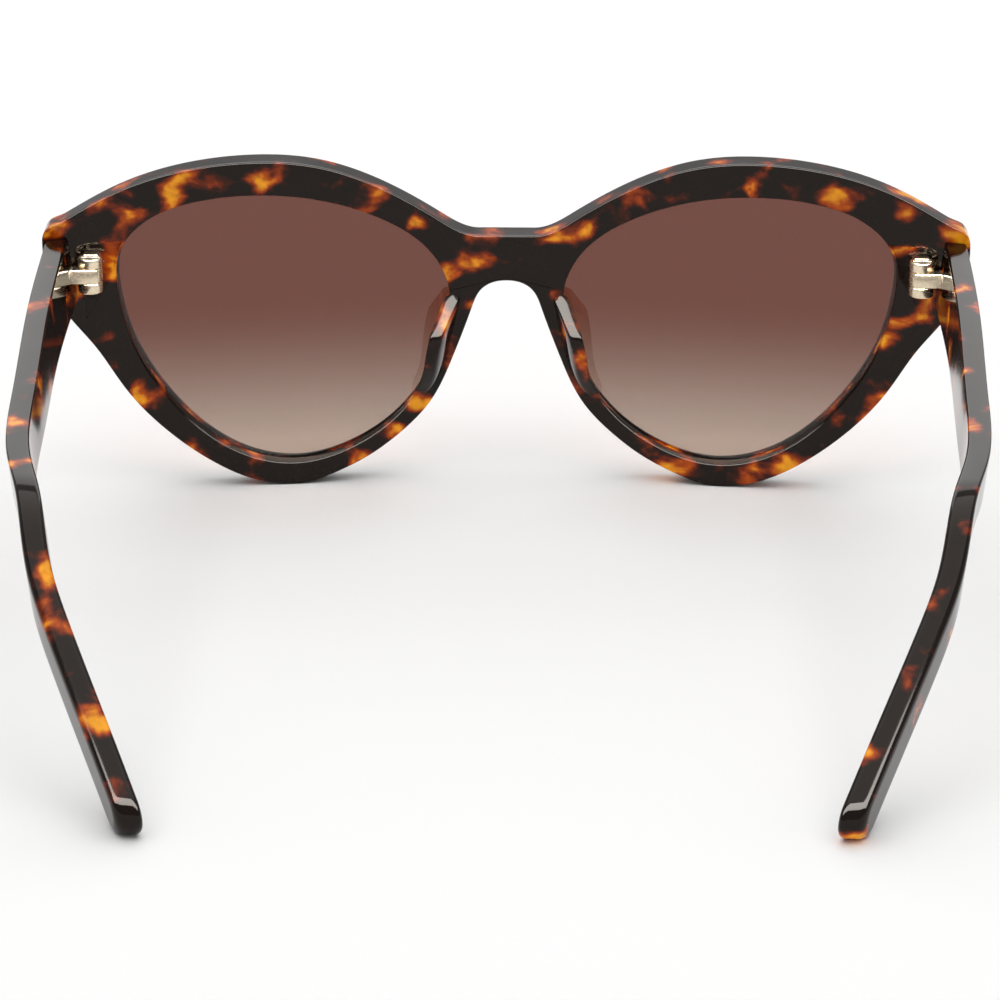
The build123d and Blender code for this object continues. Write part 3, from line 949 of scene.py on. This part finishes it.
def metal_material(name, tone, rough, grain):
    """Worn metal: a drawn grain in its colour, roughness and bump, and stains in its colour."""
    material, tree, shader, place = new_material(name)
    stretched = make_node(tree, "ShaderNodeMapping", {}, {"Vector": place, "Scale": (1.0, 1.0, 6.0)})
    streak = noise(tree, stretched.outputs[0], grain, 4.0, 0.6)
    stain = noise(tree, place, 0.9, 3.0, 0.6)
    base = scaled(tree, tuple(tone), 0.80 + streak * 0.22 + stain * 0.18)
    wear = rough * 0.7 + streak * (rough * 0.6)
    bump = make_node(tree, "ShaderNodeBump", {}, {"Strength": 0.15, "Distance": 0.00005, "Height": streak})
    tree.links.new(base, shader.inputs["Base Color"])
    tree.links.new(wear.socket, shader.inputs["Roughness"])
    tree.links.new(bump.outputs["Normal"], shader.inputs["Normal"])
    shader.inputs["Metallic"].default_value = 1.0
    return material


def front_acetate():
    """The acetate of the front and the pads, made the first time it is asked for."""
    name = "tortoise_front"
    return bpy.data.materials.get(name) or acetate_material(name, FRONT_CUT, setting("acetate").spread)


# ------------------------------------------------------------------ operators
class EYEWEAR_OT_front(bpy.types.Operator):
    """Make the acetate front"""
    bl_idname = "eyewear.front"
    bl_label = "Front"

    def execute(self, context):
        grid = front_grid()
        piece = build_piece("front_acetate", [(grid, True, True), (mirrored(grid), True, True)], on_seam)
        finish_piece(piece, front_acetate(), "front", "front_frame")
        return {"FINISHED"}


class EYEWEAR_OT_pads(bpy.types.Operator):
    """Make the nose pads"""
    bl_idname = "eyewear.pads"
    bl_label = "Nose pads"

    def execute(self, context):
        for side, sign in SIDES.items():
            piece = build_piece(f"pad_{side}", [(pad_grid(sign), False, True)])
            finish_piece(piece, front_acetate(), "front", f"nose_pad_{side}")
        return {"FINISHED"}


class EYEWEAR_OT_lenses(bpy.types.Operator):
    """Make the gradient lenses"""
    bl_idname = "eyewear.lenses"
    bl_label = "Lenses"

    def execute(self, context):
        material = lens_material()
        for side, sign in SIDES.items():
            piece = build_piece(f"sun_lens_{side}", [(lens_grid(sign), True, False)])
            finish_piece(piece, material, "front", f"lens_{side}")
        return {"FINISHED"}


class EYEWEAR_OT_temples(bpy.types.Operator):
    """Make the temples"""
    bl_idname = "eyewear.temples"
    bl_label = "Temples"

    def execute(self, context):
        material = acetate_material("tortoise_temples", TEMPLE_CUT, setting("acetate").temple_spread)
        for side, sign in SIDES.items():
            piece = build_piece(f"acetate_temple_{side}", [(temple_grid(sign), False, True)])
            finish_piece(piece, material, f"{side}_temple", f"temple_{side}")
        return {"FINISHED"}


class EYEWEAR_OT_hinges(bpy.types.Operator):
    """Make the hinge leaves and screws"""
    bl_idname = "eyewear.hinges"
    bl_label = "Hinges"

    def execute(self, context):
        metals = setting("metal")
        leaf = metal_material("hinge_nickel_silver", metals.leaf, 0.26, 1.2)
        steel = metal_material("screw_steel", metals.screw, 0.32, 2.0)
        for side, sign in SIDES.items():
            fixed = build_piece(f"hinge_leaf_front_{side}", front_hinge_grids(sign))
            finish_piece(fixed, leaf, "front", f"front_hinge_{side}")
            swung = build_piece(f"hinge_leaf_temple_{side}", temple_hinge_grids(sign))
            finish_piece(swung, leaf, f"{side}_temple", f"temple_hinge_{side}")
            screw = build_piece(f"screw_{side}", [(screw_grid(sign), True, False)])
            finish_piece(screw, steel, "front", f"hinge_screw_{side}")
        return {"FINISHED"}


class EYEWEAR_OT_cores(bpy.types.Operator):
    """Give the core wires inside the temples their metal"""
    bl_idname = "eyewear.cores"
    bl_label = "Core wires"

    def execute(self, context):
        material = metal_material("core_strip", setting("metal").core, 0.35, 0.8)
        for side in SIDES:
            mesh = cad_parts[f"core_wire_{side}"].data
            mesh.materials.clear()
            mesh.materials.append(material)
        return {"FINISHED"}


def add_softbox(name, size, place, power, gloss_only=False):
    """A rectangular soft light that faces the object's middle. A gloss-only one lights no matt face."""
    light = bpy.data.lights.new(name, "AREA")
    light.shape = "RECTANGLE"
    light.size, light.size_y = size
    light.energy = power
    lamp = bpy.data.objects.new(name, light)
    lamp.location = place
    lamp.rotation_euler = (-Vector(place)).to_track_quat("-Z", "Y").to_euler()
    lamp.visible_diffuse = not gloss_only
    bpy.context.scene.collection.objects.link(lamp)


def add_floor(stage):
    """A pale matt floor that reaches past the view, with a faint unevenness in its tone."""
    far = 6.0
    mesh = bpy.data.meshes.new("floor")
    mesh.from_pydata([(-far, -far, 0), (far, -far, 0), (far, far, 0), (-far, far, 0)], [], [(0, 1, 2, 3)])
    floor = bpy.data.objects.new("floor", mesh)
    bpy.context.scene.collection.objects.link(floor)
    material, tree, shader, place = new_material("pale_floor")
    speck = noise(tree, place, 0.004, 2.0)
    tree.links.new(scaled(tree, tuple(stage.floor), 0.99 + speck * 0.02), shader.inputs["Base Color"])
    shader.inputs["Roughness"].default_value = 0.9
    shader.inputs["Specular IOR Level"].default_value = 0.1
    mesh.materials.append(material)


def add_surround(stage):
    """An even pale surround."""
    world = bpy.data.worlds.new("white_surround")
    world.use_nodes = True
    tree = world.node_tree
    tree.nodes.clear()
    back = make_node(tree, "ShaderNodeBackground", {}, {"Color": (1.0, 1.0, 1.0, 1.0), "Strength": stage.sky})
    make_node(tree, "ShaderNodeOutputWorld", {}, {"Surface": back.outputs[0]})
    bpy.context.scene.world = world


def add_camera(stage):
    """A long lens behind the object, a little above it and to one side."""
    camera = bpy.data.cameras.new("camera")
    camera.lens = stage.focal
    camera.sensor_width = 36.0
    camera.clip_start = 0.01
    camera.clip_end = 20.0
    eye = bpy.data.objects.new("camera", camera)
    aim = Vector((-1.0 * MM, bridge_back() - 0.9 * MM, -3.3 * MM))  # just under the floor below the bridge
    flat = math.cos(stage.elevation) * stage.distance
    eye.location = aim + Vector((math.sin(stage.turn) * flat, -math.cos(stage.turn) * flat,
                                 math.sin(stage.elevation) * stage.distance))
    eye.rotation_euler = (aim - eye.location).to_track_quat("-Z", "Y").to_euler()
    bpy.context.scene.collection.objects.link(eye)
    bpy.context.scene.camera = eye


class EYEWEAR_OT_stage(bpy.types.Operator):
    """Make the floor, the light and the camera"""
    bl_idname = "eyewear.stage"
    bl_label = "Stage"

    def execute(self, context):
        stage = setting("stage")
        context.scene.view_settings.view_transform = "Standard"
        add_floor(stage)
        add_surround(stage)
        add_softbox("top_softbox", (2.4, 2.4), (0.0, 0.0, 1.6), stage.top_light)
        add_softbox("strip_softbox", (3.0, 0.55), (0.0, -0.45, 0.78), stage.strip_light, gloss_only=True)
        add_softbox("rear_softbox", (2.0, 0.9), (0.0, 1.5, 0.95), stage.rear_light)
        add_camera(stage)
        return {"FINISHED"}


class EYEWEAR_PT_panel(bpy.types.Panel):
    """Buttons for the pieces, with their sizes and colours below"""
    bl_label = "Cat Eye Sunglasses"
    bl_idname = "EYEWEAR_PT_panel"
    bl_space_type = "VIEW_3D"
    bl_region_type = "UI"
    bl_category = "Eyewear"

    def draw(self, context):
        for operator in OPERATORS:
            self.layout.operator(operator.bl_idname)
        for name, group in SETTINGS.items():
            box = self.layout.box()
            box.label(text=group.__doc__)
            for key in group.__annotations__:
                box.prop(getattr(context.scene, name), key)


OPERATORS = (EYEWEAR_OT_stage, EYEWEAR_OT_front, EYEWEAR_OT_pads, EYEWEAR_OT_lenses, EYEWEAR_OT_temples,
             EYEWEAR_OT_hinges, EYEWEAR_OT_cores)


def register():
    """Makes the settings, operators and panel known."""
    for name, group in SETTINGS.items():
        bpy.utils.register_class(group)
        setattr(bpy.types.Scene, name, bpy.props.PointerProperty(type=group))
    for item in (*OPERATORS, EYEWEAR_PT_panel):
        bpy.utils.register_class(item)


def unregister():
    """Takes them away again."""
    for item in (EYEWEAR_PT_panel, *reversed(OPERATORS)):
        bpy.utils.unregister_class(item)
    for name, group in reversed(list(SETTINGS.items())):
        delattr(bpy.types.Scene, name)
        bpy.utils.unregister_class(group)


def main():
    """Makes every piece."""
    register()
    bpy.ops.eyewear.stage()
    bpy.ops.eyewear.front()
    bpy.ops.eyewear.pads()
    bpy.ops.eyewear.lenses()
    bpy.ops.eyewear.temples()
    bpy.ops.eyewear.hinges()
    bpy.ops.eyewear.cores()


if __name__ == "__main__":
    main()
